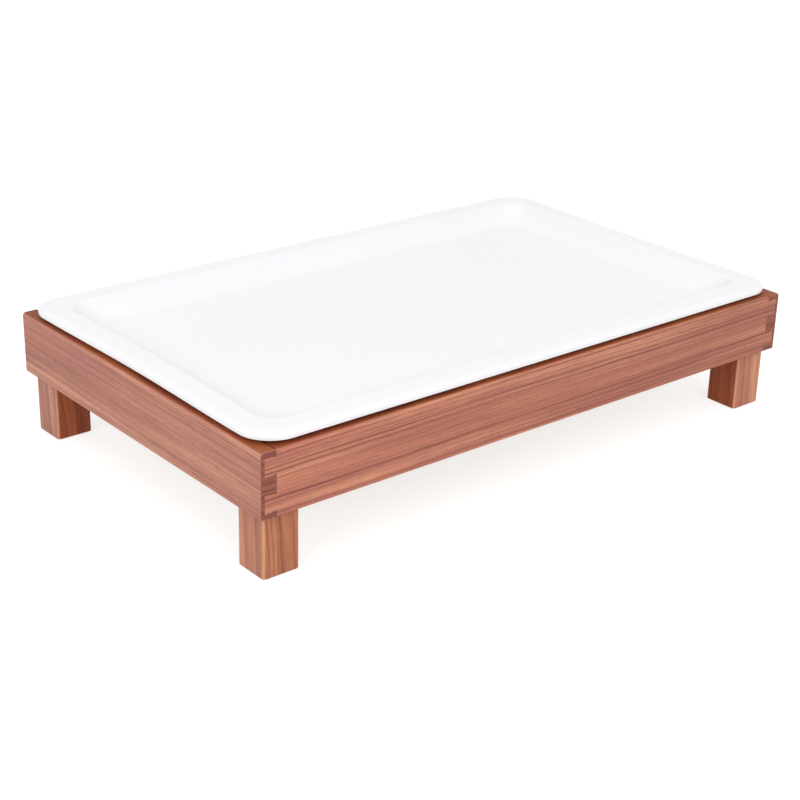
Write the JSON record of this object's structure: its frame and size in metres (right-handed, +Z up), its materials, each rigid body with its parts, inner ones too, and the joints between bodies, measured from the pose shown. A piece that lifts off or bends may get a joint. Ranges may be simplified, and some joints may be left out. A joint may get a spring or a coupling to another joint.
{
  "type": "chilled serving tray",
  "caption": "White glazed rectangular serving tray lying on cold packs in a dovetailed walnut box frame with short square legs; tray, packs and drip liner lift out.",
  "frame": {"origin": "on the table, under the middle of the frame", "axes": "+X along the long side, +Y to the back, +Z up"},
  "size_m": [0.53, 0.325, 0.1085],
  "materials": {
    "walnut": "satin",
    "porcelain": "gloss",
    "plywood": "matte",
    "cork": "matte",
    "liner_plastic": "satin",
    "pack_plastic": "satin",
    "gel": "gloss",
    "cap_plastic": "satin",
    "brass": "satin",
    "steel": "satin",
    "foot_rubber": "matte"
  },
  "bodies": {
    "frame": {"front_rail": "walnut", "back_rail": "walnut", "left_end_rail": "walnut", "right_end_rail": "walnut", "leg_front_left": "walnut", "leg_front_right": "walnut", "leg_back_right": "walnut", "leg_back_left": "walnut", "foot_pad_front_left": "foot_rubber", "foot_pad_front_right": "foot_rubber", "foot_pad_back_right": "foot_rubber", "foot_pad_back_left": "foot_rubber", "leg_insert_front_left": "brass", "leg_insert_front_right": "brass", "leg_insert_back_right": "brass", "leg_insert_back_left": "brass", "leg_screw_front_left": "steel", "leg_screw_front_right": "steel", "leg_screw_back_right": "steel", "leg_screw_back_left": "steel", "base_panel": "plywood", "insulation_board": "cork"},
    "liner": {"liner": "liner_plastic"},
    "cold_pack_left": {"cold_pack_left_shell": "pack_plastic", "cold_pack_left_gel": "gel", "cold_pack_left_cap": "cap_plastic"},
    "cold_pack_right": {"cold_pack_right_shell": "pack_plastic", "cold_pack_right_gel": "gel", "cold_pack_right_cap": "cap_plastic"},
    "tray": {"tray": "porcelain"}
  },
  "joints": [
    {"name": "tray_lift", "type": "slide", "parent": "frame", "child": "tray", "axis": [0, 0, 1], "range_m": [0, 0.24]},
    {"name": "cold_pack_left_lift", "type": "slide", "parent": "frame", "child": "cold_pack_left", "axis": [0, 0, 1], "range_m": [0, 0.12]},
    {"name": "cold_pack_right_lift", "type": "slide", "parent": "frame", "child": "cold_pack_right", "axis": [0, 0, 1], "range_m": [0, 0.12]},
    {"name": "liner_lift", "type": "slide", "parent": "frame", "child": "liner", "axis": [0, 0, 1], "range_m": [0, 0.06]}
  ],
  "couplings": [
    {"joint": "cold_pack_left_lift", "follows": "tray_lift", "ratio": 0.5},
    {"joint": "cold_pack_right_lift", "follows": "tray_lift", "ratio": 0.5},
    {"joint": "liner_lift", "follows": "tray_lift", "ratio": 0.25}
  ]
}
